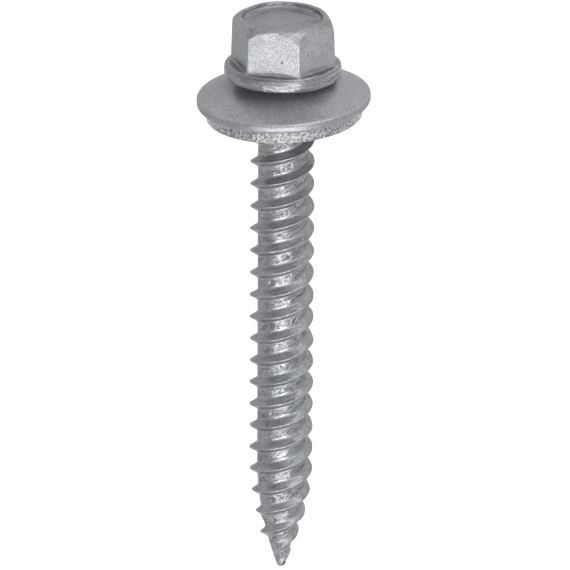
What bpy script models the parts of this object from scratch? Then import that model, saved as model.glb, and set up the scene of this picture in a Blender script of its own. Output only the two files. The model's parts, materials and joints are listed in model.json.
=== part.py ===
"""Hexagon washer head screw with a gimlet point, a dished washer and a seal ring.

The screw is modelled upright in its own frame, with the tip at zero and the head up, and is
then laid on its side. The thread has two starts, and it tapers with the core along the point.
"""

import math

import bmesh
import bpy
import numpy as np

# Shank, in metres, with heights above the tip
SHANK_LENGTH = 0.0465
CORE_RADIUS = 0.002115
NECK_RADIUS = 0.0023
NECK_FILLET = 0.0003
POINT_LENGTH = 0.0105
TIP_RADIUS = 0.00025
TIP_HEIGHT = 0.0002

# Rolled thread
CREST_RADIUS = 0.0028
THREAD_STARTS = 2
RIDGE_SPACING = 0.00207
RIDGE_FOOT_WIDTH = 0.00083
RIDGE_CREST_WIDTH = 0.00012
RIDGE_PHASE_HEIGHT = 0.001293
FIRST_RIDGE_HEIGHT = 0.0008
NEXT_RIDGE_STEP = 0.0009
RIDGE_RISE = 0.0009
THREAD_END_GAP = 0.00035
THREAD_RUNOUT = 0.0008
THREAD_COLUMNS = 36

# Hexagon, with heights above the bearing face
HEAD_HEIGHT = 0.00524
HEX_FLATS_AT_FOOT = 0.0080
HEX_FLATS_AT_TOP = 0.0077
HEX_TURN = math.radians(12.0)
SHOULDER_INNER_RADIUS = 0.00355
SHOULDER_ARC = 0.00087
SHOULDER_SLOPE = math.radians(65.0)
PUNCH_TILT = math.radians(1.2)
PUNCH_OFFSET = 0.00016
PUNCH_SIDE = math.radians(115.0)
DISH_RADIUS = 0.00346
DISH_DEPTH = 0.0005
DISH_WALL_SLOPE = 0.00012
DISH_CROWN = 0.00008

# Flange under the hexagon
FLANGE_RADIUS = 0.00507
FLANGE_RIM_HEIGHT = 0.00085
FLANGE_FOOT_HEIGHT = 0.00117
FLANGE_EDGE = 0.0002
FLANGE_EDGE_START = 70.0

# Dished washer
WASHER_RADIUS = 0.00752
WASHER_BORE_RADIUS = 0.0030
WASHER_THICKNESS = 0.00085
WASHER_DROP = 0.0016
WASHER_EDGE = 0.00022
WASHER_ASKEW = math.radians(2.4)
WASHER_LEAN = math.radians(1.7)
SEAT_CLEARANCE = 0.00005

# Seal ring bonded under the washer
SEAL_RADIUS = 0.00678
SEAL_BORE_RADIUS = 0.00255
SEAL_MOUTH_RADIUS = 0.0032
SEAL_RIM_HEIGHT = 0.00124
SEAL_EDGE = 0.0003
BOND_CLEARANCE = 0.00005

# Facets of a full turn, and of a rounded edge
TURN_STEPS = 64
EDGE_STEPS = 3

WELD = 1e-7
SNAP = 2e-5

# Worked out from the sizes above
WASHER_SLOPE = math.atan2(WASHER_DROP, WASHER_RADIUS - WASHER_BORE_RADIUS)
SHEET_RISE = WASHER_THICKNESS / math.cos(WASHER_SLOPE)
SEAT_TILT = math.hypot(WASHER_ASKEW, WASHER_LEAN)
SEAT_HEIGHT = SHANK_LENGTH - SEAT_CLEARANCE - WASHER_BORE_RADIUS * math.sin(SEAT_TILT)
SEAL_TOP_AT_RIM = -(SEAL_RADIUS - WASHER_BORE_RADIUS) * math.tan(WASHER_SLOPE) - SHEET_RISE - BOND_CLEARANCE
SEAL_FACE = SEAL_TOP_AT_RIM - SEAL_RIM_HEIGHT
THREAD_TOP = SEAT_HEIGHT + SEAL_FACE - THREAD_END_GAP
HALF_STEP = math.pi / TURN_STEPS
HEX_CORNER_AT_FOOT = HEX_FLATS_AT_FOOT / 2 / math.cos(math.radians(30.0))
HEX_CORNER_AT_TOP = HEX_FLATS_AT_TOP / 2 / math.cos(math.radians(30.0))


def clear_scene():
    """Removes every object that the scene starts with."""
    for obj in list(bpy.data.objects):
        bpy.data.objects.remove(obj, do_unlink=True)


def new_collection(name):
    """Makes a collection in the scene."""
    group = bpy.data.collections.new(name)
    bpy.context.scene.collection.children.link(group)
    return group


def new_material(name, colour, metallic, roughness):
    """Makes a plain Principled material."""
    material = bpy.data.materials.new(name)
    material.use_nodes = True
    shader = material.node_tree.nodes["Principled BSDF"]
    shader.inputs["Base Color"].default_value = (*colour, 1.0)
    shader.inputs["Metallic"].default_value = metallic
    shader.inputs["Roughness"].default_value = roughness
    return material


def add_object(name, mesh, group, parent=None):
    """Puts a mesh into a collection as a named object."""
    obj = bpy.data.objects.new(name, mesh)
    obj.parent = parent
    group.objects.link(obj)
    return obj


def rounded(centre, radius, start, end):
    """Gives the points of a rounded edge, an arc between two angles in degrees."""
    angles = np.radians(np.linspace(start, end, EDGE_STEPS + 1))
    return [(centre[0] + radius * math.cos(a), centre[1] + radius * math.sin(a)) for a in angles]


def turned(name, outline, group, parent=None, ring=False):
    """Turns an outline of (radius, height) points about the axis.

    The outline runs down its outer side. It starts half a step round, so that a facet, and not
    a corner, faces each way along the axes.
    """
    points = [(r * math.cos(HALF_STEP), r * math.sin(HALF_STEP), z) for r, z in outline]
    edges = [(i, i + 1) for i in range(len(points) - 1)]
    if ring:
        edges.append((len(points) - 1, 0))
    mesh = bpy.data.meshes.new(name)
    mesh.from_pydata(points, edges, [])
    obj = add_object(name, mesh, group, parent)
    screw = obj.modifiers.new("turn", "SCREW")
    screw.steps = TURN_STEPS
    screw.render_steps = TURN_STEPS
    screw.use_merge_vertices = True
    screw.merge_threshold = WELD
    screw.use_smooth_shade = False
    return obj


def add_boolean(obj, operation, other):
    """Joins, cuts or trims an object with a hidden one."""
    boolean = obj.modifiers.new(operation.lower(), "BOOLEAN")
    boolean.operation = operation
    boolean.solver = "EXACT"
    boolean.object = other
    other.display_type = "WIRE"
    other.hide_render = True


def tapered(height, full_radius):
    """Radius of the core or the crest: a parabola along the point, then full."""
    along = np.clip(height / POINT_LENGTH, 0.0, 1.0)
    return TIP_RADIUS + (full_radius - TIP_RADIUS) * (1.0 - (1.0 - along) ** 2)


def thread_rows(turn):
    """Gives the rows of the thread as (heights, radii), with one column for each angle.

    Four rows follow each ridge: foot, crest, crest, foot. A row climbs with the angle, so the
    last column meets the first one as many ridges higher as the thread has starts.
    """
    climb = THREAD_STARTS * RIDGE_SPACING * turn
    first = math.floor(-RIDGE_PHASE_HEIGHT / RIDGE_SPACING) - THREAD_STARTS
    last = math.ceil(THREAD_TOP / RIDGE_SPACING) + 1
    across = (-RIDGE_FOOT_WIDTH / 2, -RIDGE_CREST_WIDTH / 2, RIDGE_CREST_WIDTH / 2, RIDGE_FOOT_WIDTH / 2)
    shares = (0.0, 1.0, 1.0, 0.0)
    heights = []
    radii = []
    for ridge in range(first, last + 1):
        middle = RIDGE_PHASE_HEIGHT + RIDGE_SPACING * ridge + climb
        begins = FIRST_RIDGE_HEIGHT + NEXT_RIDGE_STEP * (ridge % THREAD_STARTS)
        rise = np.clip((middle - begins) / RIDGE_RISE, 0.0, 1.0)
        runout = np.clip((THREAD_TOP - middle) / THREAD_RUNOUT, 0.0, 1.0)
        for offset, share in zip(across, shares):
            height = np.clip(middle + offset, TIP_HEIGHT, THREAD_TOP)
            height = np.where(height > THREAD_TOP - SNAP, THREAD_TOP, height)
            height = np.where(height < TIP_HEIGHT + SNAP, TIP_HEIGHT, height)
            core = tapered(height, CORE_RADIUS)
            depth = tapered(height, CREST_RADIUS) - core
            blend = np.clip((height - (THREAD_TOP - THREAD_RUNOUT)) / THREAD_RUNOUT, 0.0, 1.0)
            neck = (NECK_RADIUS - CORE_RADIUS) * blend
            heights.append(height)
            radii.append(core + np.maximum(neck, share * rise * runout * depth))
    return heights, radii


def shank_mesh():
    """Builds the threaded shank as one closed loft, from the tip into the flange.

    Rows run round the shank and columns along it. Rows that meet at a height or at the axis
    are welded there.
    """
    turn = np.arange(THREAD_COLUMNS + 1) / THREAD_COLUMNS
    level = np.ones_like(turn)
    heights = []
    radii = []
    nose_radius = tapered(TIP_HEIGHT, CORE_RADIUS)
    for angle in np.linspace(0.0, math.pi / 2, EDGE_STEPS + 1)[:-1]:
        heights.append(level * TIP_HEIGHT * (1.0 - math.cos(angle)))
        radii.append(level * nose_radius * math.sin(angle))
    thread_heights, thread_radii = thread_rows(turn)
    heights += thread_heights
    radii += thread_radii
    fillet_centre = (NECK_RADIUS + NECK_FILLET, SHANK_LENGTH - NECK_FILLET)
    for radius, height in rounded(fillet_centre, NECK_FILLET, 180.0, 90.0):
        heights.append(level * height)
        radii.append(level * radius)
    inside_flange = SHANK_LENGTH + FLANGE_FOOT_HEIGHT / 2
    for radius in (NECK_RADIUS + NECK_FILLET, 0.0):
        heights.append(level * inside_flange)
        radii.append(level * radius)

    heights = np.array(heights)
    radii = np.array(radii)
    angles = 2.0 * math.pi * turn
    corners = np.stack([radii * np.cos(angles), radii * np.sin(angles), heights], axis=-1)
    rows, columns = heights.shape
    index = np.arange(rows * columns).reshape(rows, columns)
    quads = np.stack([index[:-1, :-1], index[:-1, 1:], index[1:, 1:], index[1:, :-1]], axis=-1)
    mesh = bpy.data.meshes.new("screw")
    mesh.from_pydata(corners.reshape(-1, 3).tolist(), [], quads.reshape(-1, 4).tolist())
    body = bmesh.new()
    body.from_mesh(mesh)
    bmesh.ops.remove_doubles(body, verts=body.verts, dist=WELD)
    bmesh.ops.recalc_face_normals(body, faces=body.faces)
    body.to_mesh(mesh)
    body.free()
    return mesh


def make_hexagon(group, parent, punch):
    """Builds the drafted hexagon, whose corners are trimmed by the round shoulder.

    The punch that shapes the shoulder and the dish is a little out of line with the screw.
    """
    foot = SHANK_LENGTH + FLANGE_FOOT_HEIGHT / 2
    top = SHANK_LENGTH + HEAD_HEIGHT + DISH_DEPTH
    mesh = bpy.data.meshes.new("hexagon")
    body = bmesh.new()
    bmesh.ops.create_cone(
        body,
        cap_ends=True,
        segments=6,
        radius1=HEX_CORNER_AT_FOOT,
        radius2=HEX_CORNER_AT_TOP,
        depth=top - foot,
    )
    body.to_mesh(mesh)
    body.free()
    hexagon = add_object("hexagon", mesh, group, parent)
    hexagon.location.z = (foot + top) / 2
    hexagon.rotation_euler.z = math.radians(30.0) - HEX_TURN

    outline = [(0.0, 0.0)]
    for angle in np.linspace(0.0, SHOULDER_SLOPE, 2 * EDGE_STEPS + 1):
        radius = SHOULDER_INNER_RADIUS + SHOULDER_ARC * math.sin(angle)
        outline.append((radius, SHOULDER_ARC * (math.cos(angle) - 1.0)))
    radius, height = outline[-1]
    outline.append((FLANGE_RADIUS, height - (FLANGE_RADIUS - radius) * math.tan(SHOULDER_SLOPE)))
    outline += [(FLANGE_RADIUS, -HEAD_HEIGHT), (0.0, -HEAD_HEIGHT)]
    shoulder = turned("shoulder", outline, group, punch)
    add_boolean(hexagon, "INTERSECT", shoulder)
    return hexagon


def make_head(group, parent):
    """Builds the head: flange and hexagon as one piece, with the shallow dish in its top."""
    rim = FLANGE_RADIUS - FLANGE_EDGE
    rim_top = SHANK_LENGTH + FLANGE_RIM_HEIGHT
    foot_top = SHANK_LENGTH + FLANGE_FOOT_HEIGHT
    outline = [(0.0, foot_top), (HEX_CORNER_AT_FOOT, foot_top)]
    outline += rounded((rim, rim_top - FLANGE_EDGE), FLANGE_EDGE, FLANGE_EDGE_START, 0.0)
    outline += rounded((rim, SHANK_LENGTH + FLANGE_EDGE), FLANGE_EDGE, 0.0, -90.0)
    outline.append((0.0, SHANK_LENGTH))
    head = turned("head", outline, group, parent)
    punch = add_object("punch", None, group, parent)
    aside = (PUNCH_OFFSET * math.cos(PUNCH_SIDE), PUNCH_OFFSET * math.sin(PUNCH_SIDE))
    punch.location = (*aside, SHANK_LENGTH + HEAD_HEIGHT)
    punch.rotation_euler.x = PUNCH_TILT
    add_boolean(head, "UNION", make_hexagon(group, parent, punch))

    outline = [
        (0.0, DISH_DEPTH),
        (DISH_RADIUS + DISH_WALL_SLOPE, DISH_DEPTH),
        (DISH_RADIUS, 0.0),
        (DISH_RADIUS - DISH_WALL_SLOPE, -DISH_DEPTH),
        (0.0, -DISH_DEPTH - DISH_CROWN),
    ]
    dish = turned("dish_cutter", outline, group, punch)
    add_boolean(head, "DIFFERENCE", dish)
    return head


def make_washer(group, seat):
    """Builds the dished washer: a sheet of even thickness with rounded edges.

    Its seat is the top of its bore's edge, at zero.
    """
    slope = math.degrees(WASHER_SLOPE)
    centre = WASHER_RADIUS - WASHER_EDGE
    top = WASHER_EDGE * math.tan(WASHER_SLOPE) - WASHER_DROP
    inset = WASHER_EDGE / math.cos(WASHER_SLOPE)
    outline = [(WASHER_BORE_RADIUS, 0.0)]
    outline += rounded((centre, top - inset), WASHER_EDGE, 90.0 - slope, 0.0)
    outline += rounded((centre, top - SHEET_RISE + inset), WASHER_EDGE, 0.0, -90.0 - slope)
    outline.append((WASHER_BORE_RADIUS, -SHEET_RISE))
    return turned("sealing_washer", outline, group, seat, ring=True)


def make_seal(group, seat):
    """Builds the seal ring, whose cone fits the washer's underside and whose face is flat."""
    bore_top = (WASHER_BORE_RADIUS - SEAL_BORE_RADIUS) * math.tan(WASHER_SLOPE) - SHEET_RISE - BOND_CLEARANCE
    outline = [(SEAL_BORE_RADIUS, bore_top), (SEAL_RADIUS, SEAL_TOP_AT_RIM)]
    outline += rounded((SEAL_RADIUS - SEAL_EDGE, SEAL_FACE + SEAL_EDGE), SEAL_EDGE, 0.0, -90.0)
    mouth = SEAL_MOUTH_RADIUS - SEAL_BORE_RADIUS
    outline += [(SEAL_MOUTH_RADIUS, SEAL_FACE), (SEAL_BORE_RADIUS, SEAL_FACE + mouth)]
    return turned("seal_ring", outline, group, seat, ring=True)


def evaluated_corners(obj):
    """Gives the corners of an object's finished mesh in world space."""
    bpy.context.view_layer.update()
    solid = obj.evaluated_get(bpy.context.evaluated_depsgraph_get())
    corners = np.empty(len(solid.data.vertices) * 3)
    solid.data.vertices.foreach_get("co", corners)
    turn = np.array(obj.matrix_world)
    return corners.reshape(-1, 3) @ turn[:3, :3].T + turn[:3, 3]


def lay_on_side(rest, screw, washer, seal):
    """Lays the upright screw on the floor, on the washer's rim and the thread near the point.

    The floor touches the outline of the rim and the outline of the shank, both seen along the
    first axis, so its slope is the steepest that any rim corner leaves clear of the shank.
    """
    shank = evaluated_corners(screw)
    rim = evaluated_corners(washer)
    shank = shank[shank[:, 2] < THREAD_TOP]
    rise = rim[:, None, 1] - shank[None, :, 1]
    run = rim[:, None, 2] - shank[None, :, 2]
    tilt = np.arctan2(rise, run).min(axis=1).max()
    rest.rotation_euler.x = tilt - math.pi / 2
    corners = np.concatenate([evaluated_corners(obj) for obj in (screw, washer, seal)])
    low, high = corners.min(axis=0), corners.max(axis=0)
    rest.location = (-(low[0] + high[0]) / 2, -(low[1] + high[1]) / 2, -low[2])


def build():
    """Builds the screw with its washer and seal, and lays it down."""
    clear_scene()
    parts = new_collection("washer_head_screw")
    cutters = new_collection("cutters")
    rest = add_object("rest", None, parts)
    seat = add_object("washer_seat", None, parts, rest)
    seat.location.z = SEAT_HEIGHT
    seat.rotation_euler = (WASHER_LEAN, -WASHER_ASKEW, 0.0)

    screw = add_object("screw", shank_mesh(), parts, rest)
    add_boolean(screw, "UNION", make_head(cutters, rest))
    washer = make_washer(parts, seat)
    seal = make_seal(parts, seat)
    screw.data.materials.append(new_material("zinc_plated_steel", (0.36, 0.36, 0.38), 0.85, 0.42))
    washer.data.materials.append(new_material("zinc_plated_sheet", (0.38, 0.38, 0.40), 0.85, 0.45))
    seal.data.materials.append(new_material("grey_seal_rubber", (0.22, 0.22, 0.23), 0.0, 0.6))
    lay_on_side(rest, screw, washer, seal)


build()
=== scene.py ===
"""The looks of a hexagon washer head screw that lies on a pale floor, with its washer and seal.

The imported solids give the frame. Each piece here is a finer skin over one of them.
"""

import json
import math

import bmesh
import bpy
import numpy as np
from mathutils import Matrix, Vector


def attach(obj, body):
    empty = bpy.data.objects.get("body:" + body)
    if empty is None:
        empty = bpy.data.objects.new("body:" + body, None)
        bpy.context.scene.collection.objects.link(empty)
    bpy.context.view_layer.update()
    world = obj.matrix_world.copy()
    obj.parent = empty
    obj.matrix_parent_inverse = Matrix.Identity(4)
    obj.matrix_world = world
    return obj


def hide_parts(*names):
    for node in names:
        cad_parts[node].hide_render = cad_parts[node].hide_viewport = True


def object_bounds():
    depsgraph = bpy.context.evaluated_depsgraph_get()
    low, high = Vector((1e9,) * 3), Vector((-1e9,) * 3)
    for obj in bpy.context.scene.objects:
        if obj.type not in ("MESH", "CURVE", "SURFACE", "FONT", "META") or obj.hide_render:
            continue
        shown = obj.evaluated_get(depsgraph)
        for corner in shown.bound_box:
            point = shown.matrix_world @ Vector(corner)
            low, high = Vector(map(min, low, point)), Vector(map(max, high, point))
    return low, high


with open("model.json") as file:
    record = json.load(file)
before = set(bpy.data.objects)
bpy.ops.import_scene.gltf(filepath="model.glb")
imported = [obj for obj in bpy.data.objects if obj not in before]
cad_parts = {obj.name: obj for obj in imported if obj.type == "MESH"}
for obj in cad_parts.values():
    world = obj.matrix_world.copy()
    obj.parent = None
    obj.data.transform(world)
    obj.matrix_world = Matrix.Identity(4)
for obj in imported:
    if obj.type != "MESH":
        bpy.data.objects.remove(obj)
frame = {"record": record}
cad_low, cad_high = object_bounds()


# Screw
# One piece of steel wire, headed and then rolled: two ridges climb the core side by side to a
# gimlet point, and the head is a flange with a drafted hexagon, punched round and dished on
# top. It is plated with zinc, which is matt on the head and burnished on the thread.

# The screw lies on its side. Its own frame has the tip at zero and the axis along Z, and two
# opposite flats of the hexagon say where the axis runs
FLAT_MARK_HEIGHT = 0.0494

mounts = {mount["name"]: mount for mount in frame["record"]["mounts"]}
near_flat = mounts["drive_flat"]
far_flat = mounts["drive_flat_opposite"]
screw_axis = (Vector(near_flat["axis"]) + Vector(far_flat["axis"])).normalized()
middle_of_flats = (Vector(near_flat["pos_m"]) + Vector(far_flat["pos_m"])) / 2
screw_tip = middle_of_flats - screw_axis * FLAT_MARK_HEIGHT
sideways = Vector((1.0, 0.0, 0.0))
screw_turn = np.array([sideways, screw_axis.cross(sideways), screw_axis]).T

# The seal's flat face stands across the screw, a little askew with the washer above it. Where
# it crosses the axis says how high the end of the thread and the washer's seat are
seal_face = mounts["seal_face"]
face_normal = -Vector(seal_face["axis"])
upright_share = screw_axis.dot(face_normal)
face_height = (Vector(seal_face["pos_m"]) - screw_tip).dot(face_normal) / upright_share

# Shank, with heights above the tip
SHANK_LENGTH = 0.0465
CORE_RADIUS = 0.002115
NECK_RADIUS = 0.0023
NECK_FILLET = 0.0003
POINT_LENGTH = 0.0105
TIP_RADIUS = 0.00025
TIP_HEIGHT = 0.0002
ARC_STEPS = 6

# Thread
CREST_RADIUS = 0.0028
STARTS = 2
RIDGE_SPACING = 0.00207
RIDGE_PHASE_HEIGHT = 0.001293
RIDGE_HALF_FOOT = 0.00050
RIDGE_HALF_CREST = 0.00006
CREST_CROWN = 0.03
ROOT_FILLET = 0.00009
FIRST_RIDGE_HEIGHT = 0.0001
SECOND_RIDGE_HEIGHT = 0.0016
RIDGE_RISE = 0.0006
PROUD_TURN_HEIGHT = 0.0033
PROUD_TURN_SPAN = 0.0009
PROUD_TURN_EXTRA = 0.00019
THREAD_END_GAP = 0.00035
THREAD_RUNOUT = 0.0008
THREAD_TOP = face_height - THREAD_END_GAP
SNAP = 2e-5

# The columns start at the back, which faces the floor
SCREW_COLUMNS = 160
BACK_TURN = 0.25
turn = BACK_TURN + np.linspace(0.0, 1.0, SCREW_COLUMNS + 1)[None, :]


def tapered(height, full_radius):
    """Radius of the core or the crest: a parabola along the point, then full."""
    along = np.clip(height / POINT_LENGTH, 0.0, 1.0)
    return TIP_RADIUS + (full_radius - TIP_RADIUS) * (1.0 - (1.0 - along) ** 2)


def ridge_share(offset):
    """Share of the thread's depth at an offset from the ridge's middle: a slightly crowned crest,
    a straight flank, and at the root a parabola that runs from the flank's slope to none."""
    aside = np.abs(offset)
    flank_width = RIDGE_HALF_FOOT - RIDGE_HALF_CREST
    flank_share = 1.0 - CREST_CROWN
    crown = CREST_CROWN * (1.0 - (np.minimum(aside, RIDGE_HALF_CREST) / RIDGE_HALF_CREST) ** 2)
    flank = flank_share * (1.0 - np.maximum(aside - RIDGE_HALF_CREST, 0.0) / flank_width)
    to_level = np.clip(RIDGE_HALF_FOOT + ROOT_FILLET - aside, 0.0, 2.0 * ROOT_FILLET)
    fillet = flank_share * to_level ** 2 / (4.0 * ROOT_FILLET * flank_width)
    return np.where(aside < RIDGE_HALF_FOOT - ROOT_FILLET, flank + crown, fillet)


# Offsets of the rows from each ridge's middle, close where the section bends
HALF_OFFSETS = 0.001 * np.array([
    0.03, 0.06, 0.09, 0.25, 0.41, 0.46, 0.51, 0.56, 0.62, 0.67, 0.73, 0.83,
])
offsets = np.concatenate([-HALF_OFFSETS[::-1], HALF_OFFSETS, [RIDGE_SPACING / 2]])
first_ridge = math.floor(-RIDGE_PHASE_HEIGHT / RIDGE_SPACING) - STARTS
last_ridge = math.ceil(THREAD_TOP / RIDGE_SPACING) + 1
ridge = np.repeat(np.arange(first_ridge, last_ridge + 1), len(offsets))[:, None]
offset = np.tile(offsets, last_ridge + 1 - first_ridge)[:, None]
ridge_middle = RIDGE_PHASE_HEIGHT + RIDGE_SPACING * (ridge + STARTS * turn)
on_first_start = ridge % STARTS == 0

# Each ridge rises out of the core near the tip, and runs out under the seal. Rows that would
# pass the tip or the thread's end, or come close to it, are held there
begins = np.where(on_first_start, FIRST_RIDGE_HEIGHT, SECOND_RIDGE_HEIGHT)
rise = np.clip((ridge_middle - begins) / RIDGE_RISE, 0.0, 1.0)
runout = np.clip((THREAD_TOP - ridge_middle) / THREAD_RUNOUT, 0.0, 1.0)
thread_height = np.clip(ridge_middle + offset, TIP_HEIGHT, THREAD_TOP)
thread_height = np.where(thread_height > THREAD_TOP - SNAP, THREAD_TOP, thread_height)
thread_height = np.where(thread_height < TIP_HEIGHT + SNAP, TIP_HEIGHT, thread_height)
core = tapered(thread_height, CORE_RADIUS)
from_proud_turn = (ridge_middle - PROUD_TURN_HEIGHT) / PROUD_TURN_SPAN
proud = PROUD_TURN_EXTRA * np.exp(-(from_proud_turn ** 2)) * on_first_start
depth = tapered(thread_height, CREST_RADIUS) - core + proud
neck_share = np.clip((thread_height - (THREAD_TOP - THREAD_RUNOUT)) / THREAD_RUNOUT, 0.0, 1.0)
share = ridge_share(offset) * rise * runout
thread_radius = core + np.maximum((NECK_RADIUS - CORE_RADIUS) * neck_share, share * depth)

# Nose, neck and its fillet into the flange
quarter = np.linspace(0.0, math.pi / 2, ARC_STEPS)[:, None]
nose_radius = tapered(TIP_HEIGHT, CORE_RADIUS) * np.sin(quarter[:-1])
nose_height = TIP_HEIGHT * (1.0 - np.cos(quarter[:-1]))
neck_radius = NECK_RADIUS + NECK_FILLET * (1.0 - np.cos(quarter))
neck_height = SHANK_LENGTH - NECK_FILLET * (1.0 - np.sin(quarter))

# Hexagon and its round shoulder, with heights above the bearing face
HEAD_HEIGHT = 0.00524
HEX_FLATS_AT_FOOT = 0.0080
HEX_FLATS_AT_TOP = 0.0077
HEX_TURN = math.radians(12.0)
HEX_CORNER_ROUND = 0.00016
FOOT_FILLET = 0.00014
SHOULDER_INNER_RADIUS = 0.00355
SHOULDER_ARC = 0.00087
SHOULDER_SLOPE = math.radians(65.0)
SHOULDER_EDGE_ROUND = 0.0001
SETTLING_STEPS = 12

# The punch strikes a little tilted and off the middle. The dish's wall is pairs of a distance
# in from the dish's edge and a drop below the top
PUNCH_TILT = math.radians(1.2)
PUNCH_OFFSET = 0.00016
PUNCH_SIDE = math.radians(115.0)
DISH_RADIUS = 0.00346
DISH_DEPTH = 0.0005
DISH_WALL = 0.001 * np.array([
    (-0.07, 0.0), (-0.03, 0.008), (0.0, 0.03), (0.03, 0.08), (0.05, 0.14), (0.06, 0.22), (0.07, 0.3),
    (0.09, 0.35), (0.13, 0.385), (0.22, 0.43), (0.32, 0.466), (0.43, 0.488), (0.56, 0.498), (0.74, 0.5),
])
DISH_CROWN = 0.00008

# Flange. The powers make its rim's section fuller than a round
FLANGE_RADIUS = 0.00507
FLANGE_RIM_HEIGHT = 0.00103
FLANGE_FOOT_HEIGHT = 0.00117
FLANGE_EDGE = 0.0002
RIM_ARC = np.radians(np.linspace(-90.0, 70.0, 15))[:, None]
RIM_SIDE_POWER = 0.7
RIM_TOP_POWER = 0.75
CONE_OVERLAP = 0.3 * FLANGE_EDGE
CONE_DROP = 0.00001
RIM_GROOVE_DEPTH = 0.00006
RIM_GROOVE_WIDTH = 0.00007
RIM_GROOVE_INSET = 0.00002

# Rows of the head: radii under the flange, and shares of the way across the other parts
UNDERSIDE_RADII = 0.001 * np.array([2.7, 3.5, 4.5, 4.8])[:, None]
TOP_SHARES = np.linspace(0.0, 1.0, 12)[1:-1, None]
SIDE_SHARES = np.array([0.03, 0.12, 0.3, 0.5, 0.7, 0.88, 0.97])[:, None]
SHOULDER_SHARES = np.array([0.95, 0.86, 0.74, 0.6, 0.46, 0.32, 0.18, 0.06, 0.0])[:, None]
FLOOR_SHARES = np.array([0.94, 0.8, 0.6, 0.35, 0.12, 0.0])[:, None]

# Columns of the head crowd round the hexagon's six corners
SIDES = 6
SIXTH = 2.0 * math.pi / SIDES
CORNER_ANGLE = -math.pi / 2 - HEX_TURN + SIXTH / 2
CORNER_CROWDING = 0.72

even_angle = 2.0 * math.pi * turn
head_angle = even_angle - CORNER_CROWDING / SIDES * np.sin(SIDES * (even_angle - CORNER_ANGLE))
hex_foot = SHANK_LENGTH + FLANGE_FOOT_HEIGHT / 2
hex_top = SHANK_LENGTH + HEAD_HEIGHT + DISH_DEPTH
foot_plane = SHANK_LENGTH + FLANGE_FOOT_HEIGHT
corner_at_foot = HEX_FLATS_AT_FOOT / 2 / math.cos(SIXTH / 2)
punch_x = PUNCH_OFFSET * math.cos(PUNCH_SIDE)
punch_y = PUNCH_OFFSET * math.sin(PUNCH_SIDE)
punch_shift = punch_x * np.cos(head_angle) + punch_y * np.sin(head_angle)


def hexagon_radius(height):
    """Radius of the drafted hexagon at each head column: the flat's distance over the cosine
    from its middle, and near a corner the far side of the small round that breaks it."""
    half_flats = np.interp(height, [hex_foot, hex_top], [HEX_FLATS_AT_FOOT, HEX_FLATS_AT_TOP]) / 2
    from_corner = np.abs((head_angle - CORNER_ANGLE + SIXTH / 2) % SIXTH - SIXTH / 2)
    round_centre = (half_flats - HEX_CORNER_ROUND) / math.cos(SIXTH / 2)
    touch_aside = (half_flats - HEX_CORNER_ROUND) * math.tan(SIXTH / 2)
    touch = SIXTH / 2 - np.arctan(touch_aside / half_flats)
    inside = np.maximum(HEX_CORNER_ROUND ** 2 - (round_centre * np.sin(from_corner)) ** 2, 0.0)
    on_round = round_centre * np.cos(from_corner) + np.sqrt(inside)
    on_flat = half_flats / np.cos(SIXTH / 2 - from_corner)
    return np.where(from_corner < touch, on_round, on_flat)


def punched_height(radius, drop):
    """Height of a form that the tilted punch leaves: the head's top, the form's drop, and the
    tilt's share towards the back."""
    tilt = math.tan(PUNCH_TILT) * (radius * np.sin(head_angle) - punch_y)
    return SHANK_LENGTH + HEAD_HEIGHT + drop + tilt


def shoulder_height(radius):
    """Height of the round shoulder: an arc that falls away from the flat ring on top, and below
    the arc a straight cone."""
    out = np.maximum(radius - punch_shift - SHOULDER_INNER_RADIUS, 0.0)
    arc_end = SHOULDER_ARC * math.sin(SHOULDER_SLOPE)
    on_arc = np.sqrt(SHOULDER_ARC ** 2 - np.minimum(out, arc_end) ** 2) - SHOULDER_ARC
    on_cone = np.maximum(out - arc_end, 0.0) * math.tan(SHOULDER_SLOPE)
    return punched_height(radius, on_arc - on_cone)


def bend(start, corner, end, steps):
    """A rounded edge from start to end that bends at a corner: a quadratic Bezier curve. Each
    of the three is a pair of rows, radius and height."""
    s = np.linspace(0.0, 1.0, steps)[:, None]
    pulls = [(1 - s) ** 2, 2 * s * (1 - s), s ** 2]
    return [sum(pull * row for pull, row in zip(pulls, rows)) for rows in zip(start, corner, end)]


def flange_top(radius):
    """Height of the flange's top: level by the hexagon, then a cone down to the rim, with a
    slight groove inside the rim."""
    rim = FLANGE_RADIUS - FLANGE_EDGE
    rim_top = SHANK_LENGTH + FLANGE_RIM_HEIGHT - CONE_DROP
    cone = np.interp(radius, [corner_at_foot, rim + CONE_OVERLAP], [foot_plane, rim_top])
    from_groove = (radius - rim + RIM_GROOVE_INSET) / RIM_GROOVE_WIDTH
    return cone - RIM_GROOVE_DEPTH * np.exp(-(from_groove ** 2))


# Flange: underside, full rim and top
under_height = np.full_like(UNDERSIDE_RADII, SHANK_LENGTH)
rim_bulge = np.sign(np.sin(RIM_ARC)) * np.abs(np.sin(RIM_ARC)) ** RIM_TOP_POWER
rim_radius = FLANGE_RADIUS - FLANGE_EDGE + FLANGE_EDGE * np.cos(RIM_ARC) ** RIM_SIDE_POWER
rim_height = SHANK_LENGTH + FLANGE_RIM_HEIGHT / 2 * (1.0 + rim_bulge)
hex_at_foot = hexagon_radius(foot_plane)
toe = hex_at_foot + FOOT_FILLET
top_radius = rim_radius[-1] + (toe - rim_radius[-1]) * TOP_SHARES

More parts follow.
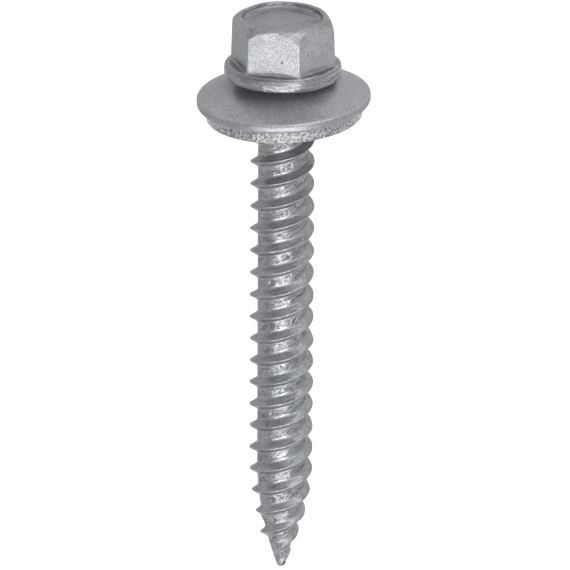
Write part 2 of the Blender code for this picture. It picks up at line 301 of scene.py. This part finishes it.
# Hexagon: fillet at its foot, flats, and the bend over to the shoulder. The radius and the
# height of the edge between flats and shoulder settle against each other
edge_radius = hexagon_radius(hex_top)
for _ in range(SETTLING_STEPS):
    edge_height = shoulder_height(edge_radius)
    edge_radius = hexagon_radius(edge_height)
side_foot = foot_plane + FOOT_FILLET
foot_bend = bend(
    (toe, flange_top(toe)),
    (hex_at_foot, flange_top(hex_at_foot)),
    (hexagon_radius(side_foot), np.full_like(toe, side_foot)),
    steps=5,
)
side_end = edge_height - SHOULDER_EDGE_ROUND
side_height = side_foot + (side_end - side_foot) * SIDE_SHARES
shoulder_start = edge_radius - SHOULDER_EDGE_ROUND
edge_bend = bend(
    (hexagon_radius(side_end), side_end),
    (edge_radius, edge_height),
    (shoulder_start, shoulder_height(shoulder_start)),
    steps=6,
)
ring_outside = SHOULDER_INNER_RADIUS + punch_shift
shoulder_radius = ring_outside + (shoulder_start - ring_outside) * SHOULDER_SHARES

# Dish: rounded lip, steep wall, bevelled corner and crowned floor
wall_inset, wall_drop = DISH_WALL.T[:, :, None]
wall_radius = DISH_RADIUS + punch_shift - wall_inset
floor_radius = wall_radius[-1] * FLOOR_SHARES
floor_drop = -DISH_DEPTH - DISH_CROWN * (1.0 - FLOOR_SHARES ** 2)


def round_grid(radius, height, angle):
    """Points of a turned form: radius and height for each row and column, and an angle."""
    radius, height, angle = np.broadcast_arrays(radius, height, angle)
    return np.stack([radius * np.cos(angle), radius * np.sin(angle), height], axis=-1)


shank_rows = [(nose_radius, nose_height), (thread_radius, thread_height), (neck_radius, neck_height)]
side_rows = (hexagon_radius(side_height), side_height)
head_rows = [
    (UNDERSIDE_RADII, under_height),
    (rim_radius, rim_height),
    (top_radius, flange_top(top_radius)),
    foot_bend,
    side_rows,
    edge_bend,
    (shoulder_radius, shoulder_height(shoulder_radius)),
    (wall_radius, punched_height(wall_radius, -wall_drop)),
    (floor_radius, punched_height(floor_radius, floor_drop)),
]
shank_grid = np.concatenate([round_grid(r, h, even_angle) for r, h in shank_rows])
head_grid = np.concatenate([round_grid(r, h, head_angle) for r, h in head_rows])
screw_grid = np.concatenate([shank_grid, head_grid])
head_start = len(shank_grid)
thread_rows = slice(len(nose_radius), len(nose_radius) + len(thread_radius))
rim_start = head_start + len(UNDERSIDE_RADII)
rim_end = rim_start + len(rim_radius)

# Marks for the plating. One holds places on the piece rolled out flat: on the shank X runs along
# the ridges and Y across them, and on the head X runs round, drawn out, and Y across
HEAD_DRAWING = 0.35

helix_slope = math.atan2(STARTS * RIDGE_SPACING, 2.0 * math.pi * CORE_RADIUS)
round_core = 2.0 * math.pi * CORE_RADIUS * turn
up_core = shank_grid[..., 2]
along_ridge = round_core * math.cos(helix_slope) + up_core * math.sin(helix_slope)
across_ridge = up_core * math.cos(helix_slope) - round_core * math.sin(helix_slope)
round_head = HEAD_DRAWING * FLANGE_RADIUS * head_angle
row_steps = np.linalg.norm(np.diff(head_grid, axis=0), axis=-1).mean(axis=1)
across_head = np.concatenate([[0.0], np.cumsum(row_steps)])[:, None]
rolled_shank = np.stack([along_ridge, across_ridge, 0.0 * along_ridge], axis=-1)
rolled_head = np.stack(np.broadcast_arrays(round_head, across_head, 0.0), axis=-1)
rolled_mark = np.concatenate([rolled_shank, rolled_head])

# Another mark says how wrinkled each place is: most in the middle of the core's strip, and not
# at all where the rolled-out places meet at the back
CORE_STRIP = (-0.00074, -0.00062, 0.00073, 0.00083)
FORGED_WRINKLES = 0.45
RIM_WRINKLES = 0.55
FLAT_WRINKLES = 0.06
FLANK_WRINKLES = 0.16

on_flank = FLANK_WRINKLES * (np.abs(offset) < RIDGE_HALF_FOOT)
on_core = np.interp(offset, CORE_STRIP, [1.0, 0.0, 0.0, 1.0])
head_wrinkles = [FORGED_WRINKLES if rows is not side_rows else FLAT_WRINKLES for rows in head_rows]
wrinkled_mark = np.full(screw_grid.shape[:2], FLANK_WRINKLES)
wrinkled_mark[thread_rows] = np.where(thread_height < THREAD_TOP, on_flank + on_core, FLANK_WRINKLES)
wrinkled_mark[head_start:] = np.repeat(head_wrinkles, [len(r) for r, _ in head_rows])[:, None]
wrinkled_mark[rim_start:rim_end] = RIM_WRINKLES
wrinkled_mark[-len(floor_radius):] = 0.0
wrinkled_mark[:, [0, 1, -2, -1]] = 0.0

# A third says how matt each place is: the forged head most, then the thread's flanks, and then
# the flange's rim
FLANK_MIDDLE = 0.0003
FLANK_HALF_WIDTH = 0.0002
FLANK_MATT = 0.55
RIM_MATT = 0.15

forged_mark = np.zeros(screw_grid.shape[:2])
forged_mark[thread_rows] = FLANK_MATT * (np.abs(np.abs(offset) - FLANK_MIDDLE) < FLANK_HALF_WIDTH)
forged_mark[head_start:] = 1.0
forged_mark[rim_start:rim_end + len(top_radius)] = RIM_MATT

# Unevenness of the rolled thread, wear along its crests, and burrs. Each burr has its place,
# height and width
ROLLING_LUMPS = 0.000004
ROLLING_LUMP_SIZE = 0.0003
ROLLING_STRETCH = 2.6
ROLLING_SEED = 11
CREST_WEAR = 0.00002
WEAR_SIZE = 0.0022
WEAR_SEED = 5
BURRS = (
    (0.00060, -0.0003, 0.00075, 0.0001, 0.0003),
    (0.0003, -0.00025, 0.00034, 0.00015, 0.00024),
    (-0.00158, -0.0004, 0.0050, 0.00014, 0.0003),
)
WAVES = 40
WAVE_SPREAD = (0.7, 1.5)
WELD = 1e-7


def lumps(points, size, seed):
    """A smooth, even unevenness of about unit height: a sum of plane waves whose directions and
    phases are drawn from a seed, each about one size long."""
    draw = np.random.default_rng(seed)
    direction = draw.normal(size=(3, WAVES))
    direction /= np.linalg.norm(direction, axis=0)
    number = 2.0 * math.pi / size * draw.uniform(*WAVE_SPREAD, size=WAVES)
    phase = draw.uniform(0.0, 2.0 * math.pi, size=WAVES)
    waves = np.sin(points.reshape(-1, 3) @ (direction * number) + phase)
    return waves.sum(axis=1).reshape(points.shape[:-1]) / math.sqrt(WAVES / 2)


outward = screw_grid * np.array([1.0, 1.0, 0.0])
outward /= np.maximum(np.linalg.norm(outward, axis=-1, keepdims=True), WELD)
stretched = rolled_mark * np.array([1.0 / ROLLING_STRETCH, 1.0, 0.0])
raised = ROLLING_LUMPS * wrinkled_mark * lumps(stretched, ROLLING_LUMP_SIZE, ROLLING_SEED)
raised[head_start:] = 0.0
wear = CREST_WEAR * lumps(screw_grid, WEAR_SIZE, WEAR_SEED)
raised[thread_rows] += share ** 3 * wear[thread_rows]
for x, y, z, height, width in BURRS:
    away = np.linalg.norm(screw_grid - np.array([x, y, z]), axis=-1)
    raised += height * np.exp(-((away / width) ** 2))
screw_grid = screw_grid + outward * raised[..., None]


def laid_down(points):
    """Takes points of the upright screw to where it lies: turned with its axis, then moved."""
    return points @ screw_turn.T + np.array(screw_tip)


def skin(name, grid, marks):
    """Makes a closed mesh over a grid of points, whose rows go along the piece and whose columns
    go round it. Rows that meet are welded. Marks are values or vectors kept at each point."""
    rows, columns = grid.shape[:2]
    index = np.arange(rows * columns).reshape(rows, columns)
    quads = np.stack([index[:-1, :-1], index[:-1, 1:], index[1:, 1:], index[1:, :-1]], axis=-1)
    mesh = bpy.data.meshes.new(name)
    mesh.from_pydata(grid.reshape(-1, 3), [], quads.reshape(-1, 4))
    for mark, values in marks.items():
        values = np.asarray(values, dtype=np.float32)
        kind, field = ("FLOAT_VECTOR", "vector") if values.ndim == 3 else ("FLOAT", "value")
        attribute = mesh.attributes.new(mark, kind, "POINT")
        attribute.data.foreach_set(field, values.ravel())
    body = bmesh.new()
    body.from_mesh(mesh)
    bmesh.ops.remove_doubles(body, verts=body.verts, dist=WELD)
    bmesh.ops.dissolve_degenerate(body, edges=body.edges, dist=WELD)
    bmesh.ops.recalc_face_normals(body, faces=body.faces)
    body.to_mesh(mesh)
    body.free()
    mesh.shade_smooth()
    piece = bpy.data.objects.new(name, mesh)
    bpy.context.scene.collection.objects.link(piece)
    return piece


plated_screw = skin(
    "plated_screw",
    laid_down(screw_grid),
    {"rolled": rolled_mark, "wrinkled": wrinkled_mark, "forged": forged_mark},
)
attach(plated_screw, "root")
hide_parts("screw")


class NodeBench:
    """Puts nodes into a material or a world and joins them, so that a finish reads as a list of
    steps. A step's value is a constant or another node's output."""

    def __init__(self, owner, shader="Principled BSDF"):
        owner.use_nodes = True
        self.owner = owner
        self.tree = owner.node_tree
        self.shader = self.tree.nodes[shader]

    def add(self, kind, settings=None, **inputs):
        """Adds a node. Settings are its own properties, and inputs its sockets by name."""
        node = self.tree.nodes.new(kind)
        for key, value in (settings or {}).items():
            setattr(node, key, value)
        for key, value in inputs.items():
            self.set(node, key.replace("_", " "), value)
        return node

    def set(self, node, socket, value):
        """Sets a socket, by its name or number, to a value."""
        target = node.inputs[socket]
        if isinstance(value, bpy.types.NodeSocket):
            self.tree.links.new(value, target)
        else:
            target.default_value = value

    def given(self, socket):
        """The output that a socket of the shader is joined to."""
        return self.shader.inputs[socket].links[0].from_socket

    def place(self):
        """The object coordinates, which are places in metres."""
        return self.add("ShaderNodeTexCoord").outputs["Object"]

    def mark(self, name, output="Fac"):
        """A mark that the mesh holds at its points."""
        return self.add("ShaderNodeAttribute", {"attribute_name": name}).outputs[output]

    def work_out(self, operation, *values):
        """Adds, multiplies or compares values."""
        node = self.add("ShaderNodeMath", {"operation": operation})
        for socket, value in enumerate(values):
            self.set(node, socket, value)
        return node.outputs[0]

    def spread(self, value, span, onto=(0.0, 1.0)):
        """Spreads a value from one span onto another, and holds it at the ends."""
        node = self.add("ShaderNodeMapRange", Value=value, From_Min=span[0], From_Max=span[1],
                        To_Min=onto[0], To_Max=onto[1])
        return node.outputs[0]

    def mix(self, share, first, second):
        """Mixes two colours, by the share of the second."""
        node = self.add("ShaderNodeMix", {"data_type": "RGBA"})
        self.set(node, 0, share)
        self.set(node, 6, first)
        self.set(node, 7, second)
        return node.outputs[2]

    def scaled(self, colour, factor):
        """A colour times a factor."""
        node = self.add("ShaderNodeVectorMath", {"operation": "SCALE"})
        self.set(node, 0, colour)
        self.set(node, "Scale", factor)
        return node.outputs[0]

    def shade(self, factor):
        """Multiplies the base colour so far by a factor."""
        self.set(self.shader, "Base Color", self.scaled(self.given("Base Color"), factor))

    def bump(self, height, size):
        """Adds a bump, of a height that is 1 at a size in metres, over what bumps there are."""
        node = self.add("ShaderNodeBump", Height=height, Strength=1.0, Distance=size)
        if self.shader.inputs["Normal"].is_linked:
            self.set(node, "Normal", self.given("Normal"))
        self.set(self.shader, "Normal", node.outputs[0])


def zinc_plating(name, dark, light, patina, roughness, grain_bump):
    """Zinc plating: cloudy grey between two tones, with thin patches of a patina, a fine crystal
    grain, which shows in the tone and as a bump, and scattered dark pits. All of it runs on
    object coordinates, in metres."""
    bench = NodeBench(bpy.data.materials.new(name))
    place = bench.place()
    cloud = bench.add("ShaderNodeTexNoise", Vector=place, Scale=650.0, Detail=4.0, Roughness=0.6)
    cloudy = bench.mix(bench.spread(cloud.outputs["Fac"], (0.35, 0.65)), dark, light)
    patch = bench.add("ShaderNodeTexNoise", Vector=place, Scale=240.0, Detail=2.0)
    patina_share = bench.spread(patch.outputs["Fac"], (0.54, 0.68), (0.0, 0.7))
    stained = bench.mix(patina_share, cloudy, patina)
    grain = bench.add("ShaderNodeTexNoise", Vector=place, Scale=8000.0, Detail=1.0, Roughness=0.7)
    grain_tone = bench.spread(grain.outputs["Fac"], (0.3, 0.7), (0.72, 1.26))
    pit = bench.add("ShaderNodeTexVoronoi", Vector=place, Scale=900.0, Randomness=1.0)
    pit_tone = bench.spread(pit.outputs["Distance"], (0.05, 0.1), (0.5, 1.0))
    spots = bench.work_out("MULTIPLY", grain_tone, pit_tone)
    bench.set(bench.shader, "Base Color", bench.scaled(stained, spots))
    bench.set(bench.shader, "Roughness", bench.spread(cloud.outputs["Fac"], (0.3, 0.7), roughness))
    bench.set(bench.shader, "Metallic", 0.5)
    bench.set(bench.shader, "Specular Tint", (0.3, 0.3, 0.3, 1.0))
    bench.bump(grain.outputs["Fac"], grain_bump)
    return bench


screw_finish = zinc_plating(
    "zinc_plated_steel",
    dark=(0.183, 0.1845, 0.196, 1.0),
    light=(0.234, 0.236, 0.251, 1.0),
    patina=(0.184, 0.199, 0.199, 1.0),
    roughness=(0.17, 0.27),
    grain_bump=0.00002,
)

# The dies leave wrinkles along the thread and round the head, which break the shine. Their
# hollows get painted shade: the base colour darkens where the bump is low
WRINKLE_STRETCH = (0.6, 1.0, 1.0)
WRINKLE_DEPTH = 0.0003
HOLLOW_SHADE_SPAN = (-0.14, 0.0)
HOLLOW_PAINTED_SHADE = 0.6

rolled_place = screw_finish.mark("rolled", "Vector")
drawn_out = screw_finish.add("ShaderNodeMapping", Vector=rolled_place, Scale=WRINKLE_STRETCH)
wrinkle = screw_finish.add("ShaderNodeTexNoise", Vector=drawn_out.outputs[0], Scale=2000.0,
                           Detail=2.0, Roughness=0.5, Distortion=0.8)
uneven = screw_finish.spread(wrinkle.outputs["Fac"], (0.0, 1.0), (-0.5, 0.5))
wrinkle_height = screw_finish.work_out("MULTIPLY", uneven, screw_finish.mark("wrinkled"))
screw_finish.bump(wrinkle_height, WRINKLE_DEPTH)
# Painted shade in the wrinkles' hollows: the base colour darkens where the bump is low
screw_finish.shade(screw_finish.spread(wrinkle_height, HOLLOW_SHADE_SPAN, (HOLLOW_PAINTED_SHADE, 1.0)))

# Three deep pits in the head, and dark spots at the tip and on the burr above it, each with
# its place and size
PITS = (
    (-0.00008, -0.00402, 0.04892, 0.00013),
    (0.00216, -0.00347, 0.04942, 0.00011),
    (-0.00163, -0.00370, 0.05140, 0.00010),
    (0.00042, -0.00032, 0.00040, 0.00040),
    (-0.00178, -0.00030, 0.00490, 0.00034),
)
PIT_TONE = 0.15

object_place = screw_finish.place()
for x, y, z, size in PITS:
    near = screw_finish.add("ShaderNodeVectorMath", {"operation": "DISTANCE"})
    screw_finish.set(near, 0, object_place)
    screw_finish.set(near, 1, laid_down(np.array([x, y, z])))
    pit_span = (0.5 * size, size)
    screw_finish.shade(screw_finish.spread(near.outputs["Value"], pit_span, (PIT_TONE, 1.0)))

# Rolling burnishes the thread, which is a little darker, and the forged head stays matt
FORGED_ROUGHNESS = 0.13
THREAD_TONE = 0.9

forged = screw_finish.mark("forged")
matt = screw_finish.work_out("MULTIPLY_ADD", forged, FORGED_ROUGHNESS, screw_finish.given("Roughness"))
screw_finish.set(screw_finish.shader, "Roughness", matt)
screw_finish.shade(screw_finish.spread(forged, (0.0, 1.0), (THREAD_TONE, 1.0)))
plated_screw.data.materials.append(screw_finish.owner)


# Sealing washer
# A ring of sheet steel, stamped and pressed into a shallow cone, loose on the screw's neck. It
# is plated as the screw is, and it sits a little askew under the flange.

WASHER_RADIUS = 0.00752
WASHER_BORE_RADIUS = 0.0030
WASHER_THICKNESS = 0.00085
WASHER_DROP = 0.0016
WASHER_EDGE = 0.0003
WASHER_COLUMNS = 240

washer_slope = math.atan2(WASHER_DROP, WASHER_RADIUS - WASHER_BORE_RADIUS)
sheet_rise = WASHER_THICKNESS / math.cos(washer_slope)

# The washer's seat is a point of the screw's axis. It stands above the seal's face by the
# heights of seal, sheet and cone together, so the seal's outer sizes are given here
SEAL_RADIUS = 0.00678
SEAL_RIM_HEIGHT = 0.00124
BOND_CLEARANCE = 0.00005


def seal_top(radius):
    """Height of the seal's top at a radius: the cone of the sheet's underside, less the bond's
    clearance."""
    cone = (WASHER_BORE_RADIUS - radius) * math.tan(washer_slope)
    return cone - sheet_rise - BOND_CLEARANCE


seal_face_below_seat = seal_top(SEAL_RADIUS) - SEAL_RIM_HEIGHT
seat_height = face_height - seal_face_below_seat / upright_share
seat_point = screw_tip + screw_axis * seat_height
seat_side = Vector((0.0, 1.0, 0.0)).cross(face_normal).normalized()
seat_turn = np.array([seat_side, face_normal.cross(seat_side), face_normal]).T


def on_seat(points):
    """Takes points of the level washer to where it sits: turned with its seat, then moved."""
    return points @ seat_turn.T + np.array(seat_point)


def arc_rows(centre, radius, start, end, steps):
    """Rows of a rounded edge: an arc between two angles in degrees, as radius and height."""
    angle = np.radians(np.linspace(start, end, steps))[:, None]
    return centre[0] + radius * np.cos(angle), centre[1] + radius * np.sin(angle)


def run(start, end, steps):
    """Rows between two (radius, height) points, without either end."""
    s = np.linspace(0.0, 1.0, steps + 2)[1:-1, None]
    return start[0] + (end[0] - start[0]) * s, start[1] + (end[1] - start[1]) * s


def corner_row(point):
    """One row at a (radius, height) point."""
    return np.array([[point[0]]]), np.array([[point[1]]])


# The washer's section: bore, upper side, outer edge with its two rounds, and underside
slope_degrees = math.degrees(washer_slope)
rim_centre = WASHER_RADIUS - WASHER_EDGE
edge_inset = WASHER_EDGE / math.cos(washer_slope)
rim_crown = WASHER_EDGE * math.tan(washer_slope) - WASHER_DROP
upper = (rim_centre, rim_crown - edge_inset)
lower = (rim_centre, rim_crown - sheet_rise + edge_inset)
upper_arc = arc_rows(upper, WASHER_EDGE, 90.0 - slope_degrees, 0.0, steps=8)
lower_arc = arc_rows(lower, WASHER_EDGE, 0.0, -90.0 - slope_degrees, steps=8)
upper_arc_start = (upper_arc[0][0, 0], upper_arc[1][0, 0])
lower_arc_end = (lower_arc[0][-1, 0], lower_arc[1][-1, 0])
bore_top = (WASHER_BORE_RADIUS, 0.0)
bore_bottom = (WASHER_BORE_RADIUS, -sheet_rise)
washer_rows = [
    corner_row(bore_top),
    run(bore_top, upper_arc_start, steps=16),
    upper_arc,
    run((WASHER_RADIUS, upper[1]), (WASHER_RADIUS, lower[1]), steps=2),
    lower_arc,
    run(lower_arc_end, bore_bottom, steps=8),
    corner_row(bore_bottom),
    run(bore_bottom, bore_top, steps=2),
    corner_row(bore_top),
]
washer_angle = np.linspace(0.0, 2.0 * math.pi, WASHER_COLUMNS + 1)[None, :]
washer_grid = np.concatenate([round_grid(r, h, washer_angle) for r, h in washer_rows])

# A mark for the sheared edge, from the upper round down to the underside, which is duller
SHEARED_TONE = 0.76

edge_rows = washer_grid[:, :1, 2] < upper[1] + 0.5 * WASHER_EDGE
edge_rows &= washer_grid[:, :1, 0] > rim_centre
sheared_mark = np.broadcast_to(1.0 * edge_rows, washer_grid.shape[:2])
dished_washer = skin("dished_washer", on_seat(washer_grid), {"sheared": sheared_mark})
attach(dished_washer, "root")
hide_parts("sealing_washer")

washer_finish = zinc_plating(
    "zinc_plated_sheet",
    dark=(0.214, 0.214, 0.231, 1.0),
    light=(0.252, 0.252, 0.271, 1.0),
    patina=(0.222, 0.234, 0.237, 1.0),
    roughness=(0.3, 0.4),
    grain_bump=0.000018,
)
sheared = washer_finish.mark("sheared")
washer_finish.shade(washer_finish.spread(sheared, (0.0, 1.0), (1.0, SHEARED_TONE)))
dished_washer.data.materials.append(washer_finish.owner)


# Seal ring
# A ring of soft grey rubber with a coarse grain, bonded to the washer's underside. Its face is
# flat, and its mouth is wide enough for the thread to pass.

SEAL_BORE_RADIUS = 0.00255
SEAL_MOUTH_RADIUS = 0.0032
SEAL_EDGE = 0.0001

bore_end = (SEAL_BORE_RADIUS, seal_top(SEAL_BORE_RADIUS))
rim_top = (SEAL_RADIUS, seal_top(SEAL_RADIUS))
rim_foot = (SEAL_RADIUS, seal_face_below_seat + SEAL_EDGE)
edge_centre = (SEAL_RADIUS - SEAL_EDGE, seal_face_below_seat + SEAL_EDGE)
face_outside = (SEAL_RADIUS - SEAL_EDGE, seal_face_below_seat)
face_inside = (SEAL_MOUTH_RADIUS, seal_face_below_seat)
mouth_end = (SEAL_BORE_RADIUS, seal_face_below_seat + SEAL_MOUTH_RADIUS - SEAL_BORE_RADIUS)
seal_rows = [
    corner_row(bore_end),
    run(bore_end, rim_top, steps=6),
    corner_row(rim_top),
    run(rim_top, rim_foot, steps=6),
    arc_rows(edge_centre, SEAL_EDGE, 0.0, -90.0, steps=8),
    run(face_outside, face_inside, steps=6),
    corner_row(face_inside),
    run(face_inside, mouth_end, steps=2),
    corner_row(mouth_end),
    run(mouth_end, bore_end, steps=2),
    corner_row(bore_end),
]
seal_grid = np.concatenate([round_grid(r, h, washer_angle) for r, h in seal_rows])
rubber_seal = skin("rubber_seal", on_seat(seal_grid), {})
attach(rubber_seal, "root")
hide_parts("seal_ring")


def seal_rubber(name, dark, light):
    """Grey rubber with a coarse grain, whose bumps catch the light one by one."""
    bench = NodeBench(bpy.data.materials.new(name))
    grain = bench.add("ShaderNodeTexNoise", Vector=bench.place(), Scale=4800.0, Detail=2.0, Roughness=0.6)
    grainy = bench.mix(bench.spread(grain.outputs["Fac"], (0.35, 0.65)), dark, light)
    bench.set(bench.shader, "Base Color", grainy)
    bench.set(bench.shader, "Metallic", 0.3)
    bench.set(bench.shader, "Roughness", 0.28)
    bench.bump(grain.outputs["Fac"], 0.0001)
    return bench


seal_finish = seal_rubber(
    "grey_seal_rubber",
    dark=(0.045, 0.046, 0.048, 1.0),
    light=(0.295, 0.297, 0.31, 1.0),
)
rubber_seal.data.materials.append(seal_finish.owner)


# Floor
# A plain white sheet of paper that the screw lies on, wide enough for every view. It is lit
# through, as on a light table, and keeps a faint shadow.

FLOOR_HALF_WIDTH = 3.0
PAPER_GLOW = 0.82
PAPER_SHADE = (0.38, 0.38, 0.38, 1.0)
PAPER_COLOUR = (0.9, 0.9, 0.9, 1.0)
WHITE = (1.0, 1.0, 1.0, 1.0)

floor_mesh = bpy.data.meshes.new("floor")
corner_signs = np.array([[-1.0, -1.0, 0.0], [1.0, -1.0, 0.0], [1.0, 1.0, 0.0], [-1.0, 1.0, 0.0]])
floor_mesh.from_pydata(corner_signs * FLOOR_HALF_WIDTH, [], [(0, 1, 2, 3)])
floor = bpy.data.objects.new("floor", floor_mesh)
bpy.context.scene.collection.objects.link(floor)


def seen_rays(bench):
    """A mask of the rays that show a background: those of the camera, and those that metal or
    glass sends on."""
    path = bench.add("ShaderNodeLightPath").outputs
    sent_on = bench.work_out("MAXIMUM", path["Is Glossy Ray"], path["Is Transmission Ray"])
    return bench.work_out("MAXIMUM", path["Is Camera Ray"], sent_on)


paper = NodeBench(bpy.data.materials.new("white_paper"))
paper.set(paper.shader, "Base Color", PAPER_COLOUR)
paper.set(paper.shader, "Roughness", 1.0)
paper.set(paper.shader, "Specular IOR Level", 0.0)
lit_paper = paper.add("ShaderNodeEmission", Color=WHITE, Strength=PAPER_GLOW)
shadow_paper = paper.add("ShaderNodeBsdfDiffuse", Color=PAPER_SHADE)
light_table = paper.add("ShaderNodeAddShader")
paper.set(light_table, 0, lit_paper.outputs[0])
paper.set(light_table, 1, shadow_paper.outputs[0])
shown = paper.add("ShaderNodeMixShader")
paper.set(shown, 0, seen_rays(paper))
paper.set(shown, 1, paper.shader.outputs[0])
paper.set(shown, 2, light_table.outputs[0])
paper.set(paper.tree.nodes["Material Output"], "Surface", shown.outputs[0])
floor_mesh.materials.append(paper.owner)


# Light
# Two low strips shine from the point's side, so that they are mirrored in the front flat and down
# the middle of the shank. Wide soft lamps fill from the front, from above and from beyond the
# point, and the room is dim, darker to the screw's left.

LAMP_DISTANCE = 0.5
ROOM_LEFT = 0.03
ROOM_RIGHT = 0.43
ROOM_SPAN = (-0.6, 0.6)

# Each lamp's name, azimuth and elevation in degrees, width and height in metres, and radiance
LAMPS = (
    ("low left", -14.0, -22.0, 0.38, 0.09, 14.0),
    ("low right", 16.0, -22.0, 0.28, 0.09, 15.0),
    ("level", 12.0, 0.0, 0.7, 0.13, 2.6),
    ("high", 8.0, 25.0, 0.5, 0.2, 3.1),
    ("beyond the point", 0.0, -51.0, 0.36, 0.13, 6.5),
    ("top", 40.0, 62.0, 0.4, 0.3, 4.1),
)


def screw_direction(azimuth, elevation):
    """The direction in the room of one seen from the upright screw, in degrees: azimuth from
    its front towards its right, and elevation above its level."""
    a, e = math.radians(azimuth), math.radians(elevation)
    upright = np.array([math.sin(a) * math.cos(e), -math.cos(a) * math.cos(e), math.sin(e)])
    return Vector(screw_turn @ upright)


def soft_lamp(name, azimuth, elevation, width, height, radiance):
    """A rectangular lamp that faces the screw's middle. Its power gives it a set radiance."""
    lamp = bpy.data.lights.new(name, "AREA")
    lamp.shape = "RECTANGLE"
    lamp.size = width
    lamp.size_y = height
    lamp.energy = radiance * math.pi * width * height
    holder = bpy.data.objects.new(name, lamp)
    bpy.context.scene.collection.objects.link(holder)
    towards = screw_direction(azimuth, elevation)
    side = screw_axis.cross(towards).normalized()
    lamp_turn = Matrix((side, towards.cross(side), towards)).transposed().to_4x4()
    centre = (cad_low + cad_high) / 2
    holder.matrix_world = Matrix.Translation(centre + towards * LAMP_DISTANCE) @ lamp_turn


for lamp_row in LAMPS:
    soft_lamp(*lamp_row)

world = bpy.data.worlds.new("room")
bpy.context.scene.world = world
room = NodeBench(world, "Background")
looking = room.add("ShaderNodeTexCoord").outputs["Generated"]
direction = room.add("ShaderNodeSeparateXYZ", Vector=looking)
side_light = room.spread(direction.outputs["X"], ROOM_SPAN, (ROOM_LEFT, ROOM_RIGHT))
room.set(room.shader, "Color", WHITE)
room.set(room.shader, "Strength", room.spread(seen_rays(room), (0.0, 1.0), (side_light, 1.0)))


# Camera
# It looks down on the screw from the head's side and from far away. Its roll and its aim set
# the screw in the picture as the photograph has it.

CAMERA_ELEVATION = 21.8
CAMERA_DISTANCE = 0.433
CAMERA_ROLL = 0.0054
AIM_HEIGHT = 0.027
AIM_ASIDE = 0.00028
FOCAL_LENGTH = 313.1
SENSOR = 36.0

back = screw_direction(0.0, CAMERA_ELEVATION)
up = back.cross(sideways)
rolled_right = (sideways * math.cos(CAMERA_ROLL) + up * math.sin(CAMERA_ROLL)).normalized()
camera_data = bpy.data.cameras.new("camera")
camera_data.lens = FOCAL_LENGTH
camera_data.sensor_width = SENSOR
camera = bpy.data.objects.new("camera", camera_data)
bpy.context.scene.collection.objects.link(camera)
aim = screw_tip + screw_axis * AIM_HEIGHT + rolled_right * AIM_ASIDE
camera_turn = Matrix((rolled_right, back.cross(rolled_right), back)).transposed().to_4x4()
camera.matrix_world = Matrix.Translation(aim + back * CAMERA_DISTANCE) @ camera_turn
bpy.context.scene.camera = camera
bpy.context.scene.view_settings.view_transform = "Standard"
